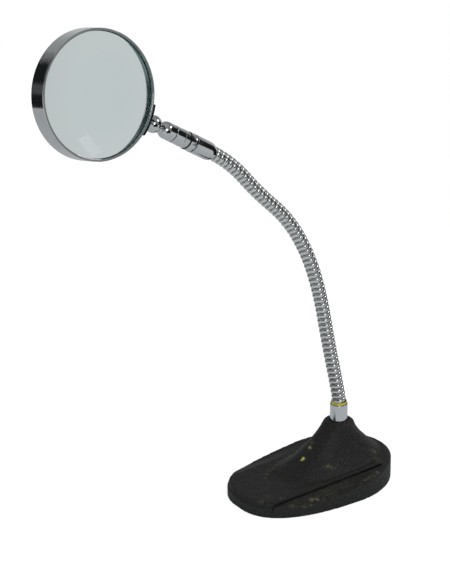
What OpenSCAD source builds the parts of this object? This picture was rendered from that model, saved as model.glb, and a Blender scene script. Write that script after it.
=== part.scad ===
// Desk magnifier: a round lens in a chromed band, carried by a ball joint on a stay-put
// flexible arm, which rises from a heavy cast foot.
// The origin is on the table, on the foot's long axis, in front of the lower ferrule by arm_x.
// +Z is up, and the lens end is toward -X.

/* [Foot] */
// How far the foot reaches to the front of the origin
foot_front = 67.2; // [64:0.1:72]
// How far the foot reaches behind the origin
foot_rear = 69; // [66:0.1:74]
// Greatest width of the foot
foot_w = 89.4; // [84:0.2:96]
// Where the foot is widest, along its length
foot_wide_x = 13.6; // [5:0.2:20]
// How square the front end is (2 is an ellipse)
foot_front_power = 2.57; // [2:0.01:3]
// Height of the outer wall at the front end
wall_front_z = 8.3; // [6:0.1:12]
// Height of the outer wall at the rear end
wall_rear_z = 17.3; // [14:0.1:21]
// Half width of the raised middle of the foot
deck_half_w = 28.3; // [24:0.1:32]
// Height of the raised middle at the foot's own middle
deck_z = 14.9; // [13:0.1:18]
// Rise of the raised middle toward the rear, in degrees
deck_slope = 3; // [0:0.5:5]
// Depth of the shallow tray in the raised middle
tray_depth = 1.3; // [0.5:0.1:2]

/* [Boss] */
// How far the arm's lower axis stands behind the origin
arm_x = 26.9; // [20:0.1:32]
// Height of the top of the boss
boss_top_z = 49; // [44:0.1:54]
// Radius of the boss below its rounded top
boss_r = 12; // [10:0.5:14]

/* [Lower ferrule] */
// Outside radius of the lower ferrule
ferrule_r = 6.78; // [6.5:0.01:7.2]
// Wall of the lower ferrule
ferrule_wall = 0.58; // [0.5:0.01:0.8]
// Height of the ferrule's mouth
mouth_z = 62.7; // [60:0.1:66]
// Outside radius of the brass ring at the arm's lower end
end_ring_r = 6.05; // [5.9:0.01:6.1]

/* [Arm] */
// Outside radius of the flexible arm
arm_r = 5.5; // [5.2:0.05:5.55]
// Radius of the round wire
wire_r = 1.4; // [1.2:0.05:1.5]
// Step from one turn of the round wire to the next
wire_pitch = 4.6; // [4.4:0.05:5]
// Length of one stretch of the arm
stretch_len = 38.5; // [37:0.1:40]
// Lean of the arm at the ferrule's mouth, in degrees from upright
lean_0 = 2.1; // [0:0.1:3]

/* [Swivel] */
// From the arm's upper end to the middle of the ball joint
pivot_d = 46; // [45:0.5:50]
// Radius of the socket's nose and of the barrel
barrel_r = 6.4; // [6.2:0.05:6.6]
// Radius of the collar
collar_r = 6.95; // [6.8:0.05:7.2]
// Radius of the upper ferrule
stem_r = 6.85; // [6.6:0.05:7]
// Radius of the caught ball
ball_r = 4.2; // [4:0.05:4.3]
// Tilt of the lens stem to the barrel, in degrees
head_tilt = 5.9; // [0:0.1:9]
// Turn of the lens about its own stem, in degrees
head_roll = 13.9; // [-45:0.1:45]

/* [Lens head] */
// Outside radius of the band
band_r = 46.3; // [44:0.1:48]
// Depth of the band
band_w = 15.4; // [14:0.1:17]
// Wall of the band
band_wall = 1.1; // [0.8:0.1:1.4]
// From the middle of the ball joint to the middle of the lens
lens_d = 66.4; // [65:0.1:70]
// Thickness of the lens at its edge
lens_edge = 3.6; // [3:0.1:4]
// Rise of each lens face from its edge to its middle
lens_sag = 4.3; // [3:0.1:4.6]
// Radius of the ball that carries the band
knob_r = 6.45; // [6.2:0.05:6.6]
// From the middle of the ball joint to the middle of that ball
knob_d = 12; // [11.8:0.1:13.2]
// Thickness of the saddle between that ball and the band
saddle_t = 1.6; // [1.2:0.1:2]

/* [Hidden] */
$fn = 96;
// gap left between pieces that move on each other
run_gap = 0.3;
// gap left between pieces that are fastened to each other
seat_gap = 0.02;
// gap round the lens stud, which turns in the knob
shaft_gap = 0.05;

// The arm is seven stretches with a joint between each and the next. It is set in a row of arcs,
// each a length and the angle that the arm turns forward along it.
last_stretch = 6;
arm_len = 7 * stretch_len;
foot_bend = 9;
arcs = [[foot_bend, 9.7], [stretch_len - foot_bend, 1], [stretch_len, -2], [stretch_len, 6.7],
    [stretch_len, 11.7], [stretch_len, 16.5], [stretch_len, -6.5], [stretch_len, 17.4]];
coil_r = arm_r - wire_r;
// rings of the round wire's tube in one turn, and sides of that tube
turn_rings = 8;
wire_sides = 6;
// the wire is cut by this angle to each side of a joint, in degrees
cut_angle = 7;
// how far the arm reaches into the lower and the upper ferrule
arm_tail = 7;
arm_head = 11.5;
// outer and inner radius of the wedge wire, and half its width
wedge_out_r = arm_r - 0.38;
wedge_in_r = arm_r - 1.6;
wedge_half_w = 0.9;

// Foot
// the outer wall rises over this length, the same to each side of this place
wall_rise_half = 55;
wall_rise_mid = 15;
deck_inset = 1.7;
foot_sides = 96;
// the tray: its round front end, and its straight back under the boss
tray_front_r = 8.5;
tray_front_mid = [-28.5, 2];
tray_back_x = 4;
tray_back_half_w = 24;
// the boss swells downward by these amounts, toward the rear, the front, its toe and the sides
boss_flare_rear = 32.8;
boss_flare_front = 34;
boss_flare_toe = 8;
boss_flare_side = 15.8;
boss_neck_z = 46.9;
boss_foot_z = 12;
// the boss runs on a little below the raised middle, by this share of its height
boss_sink = 1.06;
boss_rings = 11;
// Fixing under the foot
socket_z = 38;
plug_top_z = 50;
recess_r = 11;
recess_h = 10;
stud_r = 3;
washer_r = 9;
washer_h = 1.6;
nut_r = 5.77;
nut_h = 5;

// Swivel, along the barrel's axis from the middle of the ball joint
cap_back = -5.2;
barrel_front = -6;
barrel_back = -19.3;
collar_back = -26;
stem_taper = -41;
spigot_r = 5.4;
barrel_bore = 4.5;
tail_r = 4;
neck_r = 1.25;
cup_r = barrel_r + run_gap + 0.05;

// Band: its lips, the gap at the two seats of the lens, and the front and back of the lens's edge
lip = 0.6;
lens_seat = 0.25;
lens_front = band_w / 2 - lip - lens_seat;
lens_back = lens_front - lens_edge;
ring_in = 1.4;
ring_h = 1.3;
// Saddle: half its width, half its length, its corner radius, and its two rivets
saddle_half_w = 7.4;
saddle_half_len = 11.5;
saddle_corner = 1;
rivet_angle = 10.5;
rivet_r = 1.1;
rivet_gap = 0.02;

// The route of the arm. Lean is the angle from upright, toward -X.
// A step of length s along an arc, as an offset in X and Z
function arc_step(lean, arc, s) =
    let (bend = arc[1] * s / arc[0])
    abs(bend) < 0.001 ? s * [-sin(lean), cos(lean)]
    : s / (bend * PI / 180) * [cos(lean + bend) - cos(lean), sin(lean + bend) - sin(lean)];
// Middle of the arm and its lean at s from the lower ferrule's mouth, running straight on past both ends
function arm_at(s, k = 0, from = [arm_x, mouth_z], lean = lean_0) =
    s < 0 ? [from[0] - s * sin(lean), from[1] + s * cos(lean), lean]
    : k == len(arcs) ? [from[0] - s * sin(lean), from[1] + s * cos(lean), lean]
    : let (arc = arcs[k], p = from + arc_step(lean, arc, min(s, arc[0])))
      s > arc[0] ? arm_at(s - arc[0], k + 1, p, lean + arc[1]) : [p[0], p[1], lean + arc[1] * s / arc[0]];
// A point beside the arm's middle, at radius r and azimuth a about it
function beside_arm(s, r, a) =
    let (m = arm_at(s))
    [m[0] + r * cos(a) * cos(m[2]), r * sin(a), m[1] + r * cos(a) * sin(m[2])];

// Turn of the round wire about the arm at s
function wire_azimuth(s) = 360 * s / wire_pitch;
// Rings of one round wire: each ring lies in a plane through the arm's middle line
function wire_rings(s0, s1) =
    let (n = ceil((s1 - s0) / wire_pitch * turn_rings))
    [for (i = [0 : n]) let (s = s0 + (s1 - s0) * i / n, a = wire_azimuth(s))
        [for (j = [0 : wire_sides - 1]) let (b = 360 * j / wire_sides)
            beside_arm(s + wire_r * sin(b), coil_r + wire_r * cos(b), a)]];
// Rings of the three-sided wire that lies between the round turns
function wedge_rings(s0, s1) =
    let (n = ceil((s1 - s0) / wire_pitch * turn_rings))
    [for (i = [0 : n]) let (s = s0 + (s1 - s0) * i / n, a = wire_azimuth(s - wire_pitch / 2))
        [beside_arm(s - wedge_half_w, wedge_out_r, a), beside_arm(s, wedge_in_r, a),
         beside_arm(s + wedge_half_w, wedge_out_r, a)]];
// Rings of a straight spring about the Z axis
function spring_rings(r, wire, z0, z1, turns) =
    let (n = turns * turn_rings)
    [for (i = [0 : n]) let (a = 360 * i / turn_rings, z = z0 + (z1 - z0) * i / n)
        [for (j = [0 : wire_sides - 1]) let (b = 360 * j / wire_sides, q = r + wire * cos(b))
            [q * cos(a), q * sin(a), z + wire * sin(b)]]];

// Least distance between the points of one turn and those of the next
function turn_gap(rings) = min([for (i = [0 : len(rings) - turn_rings - 1]) for (p = rings[i])
    for (q = rings[i + turn_rings]) norm(p - q)]);

// A closed tube through rings that have the same count of points
module tube(rings, flip = false) {
    m = len(rings[0]);
    n = len(rings);
    walls = [for (i = [0 : n - 2]) for (j = [0 : m - 1])
        let (a = i * m + j, b = i * m + (j + 1) % m, c = a + m, d = b + m)
        each [[a, b, d], [a, d, c]]];
    ends = [for (j = [1 : m - 2]) each [[0, j + 1, j], [(n - 1) * m, (n - 1) * m + j, (n - 1) * m + j + 1]]];
    faces = [for (f = concat(walls, ends)) flip ? [f[0], f[2], f[1]] : f];
    polyhedron(points = [for (r = rings) each r], faces = faces, convexity = 10);
}

// Places along the barrel's axis and along the lens stem
end_of_arm = arm_at(arm_len);
pivot = [end_of_arm[0] - pivot_d * sin(end_of_arm[2]), 0, end_of_arm[1] + pivot_d * cos(end_of_arm[2])];

module on_barrel() {
    translate(pivot) rotate([0, -end_of_arm[2], 0]) children();
}

module on_stem() {
    on_barrel() rotate([-head_tilt, 0, 0]) rotate([0, 0, head_roll]) children();
}

// The lens axis: local +Z looks out of the front of the lens
module on_lens() {
    on_stem() translate([0, 0, lens_d]) rotate([90, 0, 0]) children();
}

// Outline of the foot, drawn in by g
function foot_point(a, g) =
    let (c = cos(a), s = sin(a),
         reach = c > 0 ? foot_rear - foot_wide_x : foot_front + foot_wide_x,
         p = c > 0 ? 1 : 2 / foot_front_power)
    [foot_wide_x + sign(c) * (reach - g) * pow(abs(c), p), sign(s) * (foot_w / 2 - g) * pow(abs(s), p)];

module foot_outline(g) {
    polygon([for (i = [0 : foot_sides - 1]) foot_point(360 * i / foot_sides, g)]);
}

// Plan of the raised middle: a strip along the foot, kept inside the foot's outline
module deck_outline() {
    intersection() {
        foot_outline(deck_inset);
        square([4 * foot_w, 2 * deck_half_w], center = true);
    }
}

// Height of the outer wall: low at the front, with a smooth rise to the rear
function wall_at(x) =
    let (t = min(max((x - wall_rise_mid + wall_rise_half) / (2 * wall_rise_half), 0), 1))
    wall_front_z + (wall_rear_z - wall_front_z) * t * t * (3 - 2 * t);

// The low outer part of the foot, cut to its side view
module foot_wall() {
    intersection() {
        linear_extrude(2 * wall_rear_z) foot_outline(0);
        rotate([90, 0, 0]) linear_extrude(2 * foot_w, center = true) polygon(concat(
            [for (i = [0 : 14]) let (x = (foot_front + foot_rear) * i / 14 - foot_front) [x, wall_at(x)]],
            [[foot_rear, 0], [-foot_front, 0]]));
    }
}

// Everything above the raised middle's sloping top
module above_deck() {
    translate([0, 0, deck_z]) rotate([0, -deck_slope, 0]) translate([-2 * foot_w, -foot_w, 0])
        cube([4 * foot_w, 2 * foot_w, 2 * boss_top_z]);
}

module deck() {
    difference() {
        translate([0, 0, 2]) linear_extrude(2 * deck_z) deck_outline();
        above_deck();
        tray();
    }
}

// The boss flows down and out, farther to the front and the rear than to the sides. Its plan is an
// ellipse at the neck and grows squarer toward the foot at the front.
function boss_ring(t) =
    let (z = boss_neck_z - t * (boss_neck_z - boss_foot_z),
         rear = min(boss_r + boss_flare_rear * pow(t, 1.4), foot_rear - arm_x - 2),
         front = boss_r + boss_flare_front * pow(t, 1.1) + boss_flare_toe * pow(t, 4),
         side = min(boss_r + boss_flare_side * pow(t, 1.9), deck_half_w - 0.5))
    [for (i = [0 : foot_sides / 2 - 1]) let (a = 720 * i / foot_sides, c = cos(a), s = sin(a),
                                             p = c > 0 ? 1 : 2 / (2 + t))
        [arm_x + (c > 0 ? rear : front) * sign(c) * pow(abs(c), p), side * sign(s) * pow(abs(s), p), z]];
function boss_top_ring(r, z) = [for (i = [0 : foot_sides / 2 - 1]) let (a = 720 * i / foot_sides)
    [arm_x + r * cos(a), r * sin(a), z]];

module boss() {
    tube(concat([for (i = [boss_rings : -1 : 0]) boss_ring(boss_sink * i / boss_rings)],
                [boss_top_ring(boss_r - 0.9, boss_top_z - 1.3), boss_top_ring(boss_r - 2.2, boss_top_z - 0.4),
                 boss_top_ring(boss_r - 3.8, boss_top_z)]),
         flip = true);
}

module tray() {
    translate([0, 0, deck_z]) rotate([0, -deck_slope, 0]) translate([0, 0, -tray_depth])
        linear_extrude(10) hull() {
            translate(tray_front_mid) circle(tray_front_r, $fn = 32);
            translate([tray_back_x, -tray_back_half_w]) square([1, 2 * tray_back_half_w]);
        }
}

module foot_casting() {
    color("#2b2c2a") difference() {
        union() {
            foot_wall();
            deck();
            boss();
        }
        translate([arm_x, 0, socket_z]) cylinder(r = ferrule_r + seat_gap, h = boss_top_z);
        translate([arm_x, 0, -1]) cylinder(r = stud_r + 0.2, h = boss_top_z);
        translate([arm_x, 0, -1]) cylinder(r = recess_r, h = recess_h + 1);
    }
}

module lower_ferrule() {
    color("#c9cccb") translate([arm_x, 0, 0]) rotate_extrude() polygon([
        [ferrule_r - ferrule_wall, socket_z], [ferrule_r, socket_z], [ferrule_r, mouth_z - 0.25],
        [ferrule_r - 0.2, mouth_z], [ferrule_r - ferrule_wall, mouth_z]]);
}

module arm_end_ring() {
    color("#b59a3c") translate([arm_x, 0, 0]) rotate_extrude() polygon([
        [arm_r + 0.2, mouth_z - 2.7], [ferrule_r - ferrule_wall - seat_gap, mouth_z - 2.7],
        [ferrule_r - ferrule_wall - seat_gap, mouth_z - 0.6], [end_ring_r, mouth_z - 0.5],
        [end_ring_r, mouth_z + 1.2], [end_ring_r - 0.15, mouth_z + 1.4], [arm_r + 0.2, mouth_z + 1.4]]);
}

// A shouldered plug in the ferrule, with a stud down through the foot and a spigot up into the arm
module foot_plug() {
    color("#8d8f8e") translate([arm_x, 0, 0]) rotate_extrude() polygon([
        [0, 2.5], [stud_r - 0.5, 2.5], [stud_r, 3], [stud_r, socket_z],
        [ferrule_r - ferrule_wall - 0.05, socket_z], [ferrule_r - ferrule_wall - 0.05, plug_top_z],
        [2, plug_top_z], [2, mouth_z - 2], [0, mouth_z - 2]]);
}

module foot_washer() {
    color("#8d8f8e") translate([arm_x, 0, recess_h - washer_h]) difference() {
        cylinder(r = washer_r, h = washer_h - seat_gap);
        translate([0, 0, -1]) cylinder(r = stud_r + 0.2, h = 4);
    }
}

module foot_nut() {
    color("#8d8f8e") translate([arm_x, 0, recess_h - washer_h - nut_h]) difference() {
        cylinder(r = nut_r, h = nut_h - seat_gap, $fn = 6);
        translate([0, 0, -1]) cylinder(r = stud_r + seat_gap, h = 8);
    }
}

// One stretch of the round wire. The first runs down into the lower ferrule, and the last into the upper.
module arm_wire(k) {
    cut = cut_angle / 360 * wire_pitch;
    s0 = k == 0 ? -arm_tail + wire_r : k * stretch_len + cut;
    s1 = k == last_stretch ? arm_len + arm_head - wire_r : (k + 1) * stretch_len - cut;
    rings = wire_rings(s0, s1);
    echo(str("round wire ", k + 1, ": least gap between turns, mm"), turn_gap(rings));
    color("#c4c7c6") tube(rings);
}

// One stretch of the wedge wire. It stops one turn short of a joint.
module wedge_wire(k) {
    s0 = k == 0 ? -arm_tail + wire_pitch : k * stretch_len + wire_pitch;
    s1 = k == last_stretch ? arm_len + arm_head - wire_pitch : (k + 1) * stretch_len - wire_pitch;
    color("#8f9291") tube(wedge_rings(s0, s1), flip = true);
}

// The upper ferrule: a round-ended sleeve over the arm, with a tapped web at its far end
module upper_ferrule() {
    color("#c9cccb") on_barrel() rotate_extrude() polygon([
        [tail_r + seat_gap, collar_back - 6], [tail_r + seat_gap, collar_back - seat_gap],
        [stem_r - 0.3, collar_back - seat_gap], [stem_r, collar_back - 0.4], [stem_r, stem_taper],
        [stem_r - 0.12, stem_taper - 1.5], [stem_r - 0.4, stem_taper - 3], [stem_r - 0.8, stem_taper - 4.2],
        [stem_r - 1.1, -pivot_d], [arm_r + 0.15, -pivot_d], [arm_r + 0.15, collar_back - 6]]);
}

module swivel_collar() {
    color("#c9cccb") on_barrel() rotate_extrude() polygon([
        [tail_r + seat_gap, barrel_back - seat_gap], [tail_r + seat_gap, collar_back],
        [collar_r - 0.6, collar_back], [collar_r - 0.1, collar_back + 0.5], [collar_r, collar_back + 1.2],
        [collar_r - 0.15, collar_back + 2], [collar_r - 0.2, barrel_back - 1],
        [collar_r - 0.5, barrel_back - seat_gap]]);
}

// The barrel: bored for the spring in front, with a threaded tail through the collar
module swivel_barrel() {
    color("#c9cccb") on_barrel() rotate_extrude() polygon([
        [0, collar_back - 5], [tail_r, collar_back - 5], [tail_r, barrel_back], [barrel_r - 0.1, barrel_back],
        [barrel_r - 0.15, barrel_back + 1.8], [barrel_r, barrel_back + 2.2], [barrel_r, barrel_back + 3.8],
        [barrel_r + 0.12, barrel_back + 4.1], [barrel_r + 0.12, barrel_back + 4.9],
        [barrel_r, barrel_back + 5.2], [barrel_r, barrel_front - 0.2], [barrel_r - 0.2, barrel_front],
        [spigot_r + seat_gap, barrel_front], [spigot_r + seat_gap, barrel_front - 3.5],
        [barrel_bore, barrel_front - 3.5], [barrel_bore, barrel_back + 2], [0, barrel_back + 2]]);
}

// The socket cap: a domed nose with a round seat inside it, on a threaded spigot
module socket_cap() {
    color("#c9cccb") on_barrel() difference() {
        union() {
            sphere(barrel_r);
            translate([0, 0, cap_back]) cylinder(r = barrel_r, h = -cap_back);
            translate([0, 0, barrel_front - 3.2]) cylinder(r = spigot_r, h = 4);
        }
        sphere(ball_r + run_gap);
        translate([0, 0, -20]) cylinder(r = ball_r + run_gap, h = 20);
        translate([0, 0, 3.4]) cylinder(r1 = 2.55, r2 = 3.35, h = 3.4);
        translate([0, 0, barrel_front - 3.3]) difference() {
            cylinder(r = 2 * barrel_r, h = cap_back - barrel_front + 3.3);
            translate([0, 0, -1]) cylinder(r = spigot_r, h = 8);
        }
    }
}

module friction_spring() {
    color("#9a9c9b") on_barrel() tube(spring_rings(3.3, 0.5, barrel_back + 2.7, -8.4, 5));
}

// The pad that the spring presses on the ball
module pressure_pad() {
    color("#b59a3c") on_barrel() difference() {
        translate([0, 0, -7.7]) cylinder(r = ball_r, h = 5.2);
        sphere(ball_r + run_gap);
    }
}

module swivel_ball() {
    color("#a5a8a7") on_stem() difference() {
        sphere(ball_r);
        translate([0, 0, 3.9]) cylinder(r = ball_r, h = ball_r);
        translate([0, 0, -2]) cylinder(r = neck_r - 0.25, h = 8);
    }
}

module ball_stud() {
    color("#a5a8a7") on_stem() rotate_extrude() polygon([
        [0, -1.9], [neck_r - 0.27, -1.9], [neck_r - 0.27, 3.92], [neck_r, 3.92], [neck_r, 12], [0, 12]]);
}

// The ball on the band: a hollow under it rides over the socket's nose
module rim_ball() {
    color("#c9cccb") on_stem() difference() {
        union() {
            translate([0, 0, knob_d]) sphere(knob_r);
            translate([0, 0, 4.8]) cylinder(r = 4.3, h = 5);
            translate([0, 0, knob_d + 1.5]) cylinder(r = 5.7, h = 6);
        }
        sphere(cup_r);
        translate([0, 0, 2]) cylinder(r = neck_r + shaft_gap, h = 10.4);
        translate([0, 40, lens_d]) rotate([90, 0, 0]) cylinder(r = band_r + saddle_t + seat_gap, h = 80);
    }
}

// The two places of the rivets, with local +Z out of the band
module at_rivets() {
    for (a = [-rivet_angle, rivet_angle]) rotate([0, 0, a]) rotate([90, 0, 0])
        translate([0, 0, band_r]) children();
}

module rivet_holes() {
    at_rivets() translate([0, 0, -3]) cylinder(r = rivet_r + rivet_gap, h = 8, $fn = 32);
}

module rim_saddle() {
    color("#b9bcbb") on_lens() intersection() {
        difference() {
            cylinder(r = band_r + saddle_t, h = 2 * saddle_half_w, center = true, $fn = 180);
            cylinder(r = band_r + seat_gap, h = 3 * saddle_half_w, center = true, $fn = 180);
            rivet_holes();
        }
        rotate([90, 0, 0]) linear_extrude(2 * band_r) offset(saddle_corner, $fn = 32)
            square(2 * [saddle_half_len - saddle_corner, saddle_half_w - saddle_corner], center = true);
    }
}

// Two rivets, one near each end of the saddle
module saddle_rivets() {
    color("#c9cccb") on_lens() at_rivets() {
        translate([0, 0, rivet_gap - band_wall])
            cylinder(r = rivet_r, h = saddle_t + band_wall + 0.1, $fn = 32);
        translate([0, 0, saddle_t + 0.05]) rotate_extrude($fn = 32) polygon([
            [0, 0], [1.8, 0], [1.7, 0.25], [1.2, 0.5], [0, 0.6]]);
    }
}

// The band, with a thin lip at each edge
module lens_rim() {
    half = band_w / 2;
    inner = band_r - band_wall;
    color("#c9cccb") on_lens() difference() {
        rotate_extrude($fn = 180) polygon([
            [inner, half - lip], [inner, lip - half], [inner - 0.5, 0.4 - half], [inner - 0.5, -half],
            [band_r - 0.4, -half], [band_r, 0.5 - half], [band_r, half - 0.5], [band_r - 0.4, half],
            [inner - lip, half], [inner - lip, half - 0.4]]);
        rivet_holes();
    }
}

// The ring that holds the lens against the front lip
module retaining_ring() {
    inner = band_r - band_wall;
    front = lens_back - lens_seat;
    color("#a5a8a7") on_lens() rotate_extrude($fn = 180) polygon([
        [inner - ring_in, front], [inner - ring_in, front - ring_h + 0.2],
        [inner - ring_in + 0.2, front - ring_h],
        [inner - seat_gap, front - ring_h], [inner - seat_gap, front]]);
}

// A lens with two equal bulging faces, ground round at its edge
module lens() {
    edge_r = band_r - band_wall - 0.3;
    face_r = (edge_r * edge_r + lens_sag * lens_sag) / (2 * lens_sag);
    color("#cfe0da", 0.4) on_lens() intersection() {
        translate([0, 0, -20]) cylinder(r = edge_r, h = 40, $fn = 180);
        translate([0, 0, lens_front + lens_sag - face_r]) sphere(face_r, $fn = 180);
        translate([0, 0, lens_back - lens_sag + face_r]) sphere(face_r, $fn = 180);
    }
}

foot_casting();
lower_ferrule();
arm_end_ring();
foot_plug();
foot_washer();
foot_nut();
arm_wire(0);  // arm_wire_1
arm_wire(1);  // arm_wire_2
arm_wire(2);  // arm_wire_3
arm_wire(3);  // arm_wire_4
arm_wire(4);  // arm_wire_5
arm_wire(5);  // arm_wire_6
arm_wire(6);  // arm_wire_7
wedge_wire(0);  // wedge_wire_1
wedge_wire(1);  // wedge_wire_2
wedge_wire(2);  // wedge_wire_3
wedge_wire(3);  // wedge_wire_4
wedge_wire(4);  // wedge_wire_5
wedge_wire(5);  // wedge_wire_6
wedge_wire(6);  // wedge_wire_7
upper_ferrule();
swivel_collar();
swivel_barrel();
socket_cap();
friction_spring();
pressure_pad();
swivel_ball();
ball_stud();
rim_ball();
rim_saddle();
saddle_rivets();
lens_rim();
retaining_ring();
lens();
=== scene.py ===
# %% [markdown]
# # A desk magnifier on a flexible arm
# This lesson dresses a finished set of solids. The solids say where everything is and how it moves.
# Here each part gets the surface that the real one has: soft cast iron, turned and plated brass,
# wound wire and clear glass. The parts are drawn in millimetres and become metres at the end. The
# studio round them is in metres from the start.

# %% Open the frame
from math import atan2, ceil, cos, degrees, hypot, pi, radians, sin, sqrt
import bpy
import bmesh
from mathutils import Matrix, Vector, noise


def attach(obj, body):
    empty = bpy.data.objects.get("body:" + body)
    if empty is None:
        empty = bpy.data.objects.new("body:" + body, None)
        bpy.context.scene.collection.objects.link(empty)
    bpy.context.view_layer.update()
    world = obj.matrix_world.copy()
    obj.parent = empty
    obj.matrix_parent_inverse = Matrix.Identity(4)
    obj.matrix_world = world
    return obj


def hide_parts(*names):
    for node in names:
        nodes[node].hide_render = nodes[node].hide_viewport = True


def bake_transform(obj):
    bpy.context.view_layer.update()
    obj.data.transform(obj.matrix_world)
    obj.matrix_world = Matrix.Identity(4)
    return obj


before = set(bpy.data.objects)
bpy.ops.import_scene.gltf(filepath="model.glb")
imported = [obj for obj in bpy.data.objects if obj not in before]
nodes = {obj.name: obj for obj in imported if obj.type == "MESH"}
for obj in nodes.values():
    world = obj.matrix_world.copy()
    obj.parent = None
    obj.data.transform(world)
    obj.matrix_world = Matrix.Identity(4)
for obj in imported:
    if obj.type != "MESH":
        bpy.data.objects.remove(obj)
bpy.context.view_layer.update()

MM = 0.001

# %% [markdown]
# ## Camera
# The photograph was taken from the front left, a little above, from a little over two metres away. A
# long lens keeps the far and near ends of the foot close to the same scale. The camera's three
# directions are written out, so that nothing has to be tracked or aimed.

# %% Camera
camera_right = Vector((0.8268, -0.5624, 0))
camera_back = Vector((-0.5133, -0.7548, 0.4085))
camera_up = camera_back.cross(camera_right)
camera_place = Vector((-1.191578, -1.636059, 1.076599))
lens_data = bpy.data.cameras.new("long_lens")
lens_data.sensor_fit = "HORIZONTAL"
lens_data.sensor_width = 36
lens_data.lens = 236.96
lens_data.clip_start = 0.1
camera = bpy.data.objects.new("camera", lens_data)
turn = Matrix((camera_right, camera_up, camera_back)).transposed().to_4x4()
camera.matrix_world = Matrix.Translation(camera_place) @ turn
bpy.context.scene.collection.objects.link(camera)
bpy.context.scene.camera = camera
print("camera height in mm:", round(camera_place.z / MM))

# %% [markdown]
# ## Joining nodes
# Every finish below is a small network of nodes. The first helper adds a node, sets its options and
# fills its inputs. An input is filled with a value, or with another node's output, which makes the link.
# The others are the few kinds of node that the finishes use again and again.

# %% Helpers for node networks
def add(tree, kind, inputs=None, **options):
    node = tree.nodes.new(kind)
    for name, value in options.items():
        setattr(node, name, value)
    for name, value in (inputs or {}).items():
        if isinstance(value, bpy.types.NodeSocket):
            tree.links.new(value, node.inputs[name])
        else:
            node.inputs[name].default_value = value
    return node


def calc(tree, operation, *values, clamp=False):
    node = add(tree, "ShaderNodeMath", dict(enumerate(values)), operation=operation, use_clamp=clamp)
    return node.outputs[0]


def blend_colours(tree, share, first, second):
    node = add(tree, "ShaderNodeMix", {0: share, 6: first, 7: second}, data_type="RGBA")
    return node.outputs[2]


def step_between(tree, value, low, high):
    node = add(tree, "ShaderNodeMapRange", {0: value, 1: low, 2: high}, interpolation_type="SMOOTHSTEP")
    return node.outputs[0]


def along(tree, place, axis):
    """How far a place or a direction lies along an axis."""
    node = add(tree, "ShaderNodeVectorMath", {0: place, 1: axis}, operation="DOT_PRODUCT")
    return node.outputs["Value"]


def speckle(tree, place, scale, detail, roughness=0.5):
    """A noise over a surface. The scale is how many of its waves lie in a metre."""
    inputs = {"Vector": place, "Scale": scale, "Detail": detail, "Roughness": roughness}
    return add(tree, "ShaderNodeTexNoise", inputs).outputs[0]


def emboss(tree, shader, relief, strength, depth):
    bump = add(tree, "ShaderNodeBump", {"Strength": strength, "Distance": depth, "Height": relief})
    tree.links.new(bump.outputs[0], shader.inputs["Normal"])


def new_finish(name):
    finish = bpy.data.materials.new(name)
    finish.use_nodes = True
    return finish, finish.node_tree, finish.node_tree.nodes["Principled BSDF"]


# %% [markdown]
# ## Studio
# Chrome has no colour of its own: it shows the room. The room here is a pale table, a grey ceiling, two
# soft lamps and some dark places. Three of these are wide, like curtains round the horizon, and one is
# the floor past the right edge of the table. A narrow one is half as dark, and one lies overhead. They
# give the plated tubes the black stripes that the real ones have. The lens looks through at the same
# pale table.

# %% The room that polished metal shows
room = bpy.data.worlds.new("studio")
room.use_nodes = True
bpy.context.scene.world = room
sky = room.node_tree
sky.nodes.clear()
look = add(sky, "ShaderNodeTexCoord").outputs["Generated"]
height = add(sky, "ShaderNodeSeparateXYZ", {0: look}).outputs[2]
flat = add(sky, "ShaderNodeVectorMath", {0: look, 1: (1, 1, 0)}, operation="MULTIPLY").outputs[0]
level = add(sky, "ShaderNodeVectorMath", {0: flat}, operation="NORMALIZE").outputs[0]
ceiling = add(sky, "ShaderNodeValToRGB", {0: calc(sky, "MULTIPLY_ADD", height, 0.5, 0.5)})
for place, grey in ((0.50, 0.60), (0.60, 0.46), (0.68, 0.30), (0.85, 0.22)):
    stop = ceiling.color_ramp.elements.new(place)
    stop.color = (grey * 0.97, grey, grey * 1.01, 1)
ceiling.color_ramp.elements[0].color = (0.57, 0.59, 0.60, 1)
ceiling.color_ramp.elements[-1].color = (0.40, 0.41, 0.42, 1)


# %% [markdown]
# A dark place is given by its compass direction, its half width in degrees, and the sines of the
# elevations of its foot and its top.

# %% Dark places
def dark_place(toward, half_width, low, high, soft=0.03):
    """A mask that is 1 inside a dark place."""
    near = along(sky, level, Vector((*toward, 0)).normalized())
    inside = step_between(sky, near, cos(radians(half_width + 3)), cos(radians(half_width)))
    above = step_between(sky, height, low - soft, low)
    below = step_between(sky, height, high + soft, high)
    return calc(sky, "MULTIPLY", calc(sky, "MULTIPLY", inside, above), below)


left_curtain, right_curtain, front_curtain = (-0.50, 0.86), (0.91, -0.41), (0.0, -1.0)
past_table = (0.96, -0.275)
darkness = 0.0
for place in ((left_curtain, 26, -0.33, 0.27), (right_curtain, 26, -0.06, 0.34),
              (front_curtain, 24, -0.5, 0.31), (past_table, 20, -0.60, -0.06)):
    darkness = calc(sky, "MAXIMUM", dark_place(*place), darkness)
narrow_door = calc(sky, "MULTIPLY", dark_place((0.59, -0.805), 9, -0.10, 0.12), 0.5)
darkness = calc(sky, "MAXIMUM", narrow_door, darkness)
# shelves in front of the left curtain show as a faint strip
shelves = dark_place(left_curtain, 26, -0.12, 0.02, 0.01)
darkness = calc(sky, "MULTIPLY_ADD", shelves, -0.12, darkness, clamp=True)
overhead = step_between(sky, along(sky, look, (-0.64, -0.21, 0.74)), 0.93, 0.97)
darkness = calc(sky, "MAXIMUM", overhead, darkness)

# %% [markdown]
# Each kind of ray is shown its own room. Polished metal sees the ceiling and the dark places, glass and
# dull surfaces see an even grey, and the camera sees white.

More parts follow.
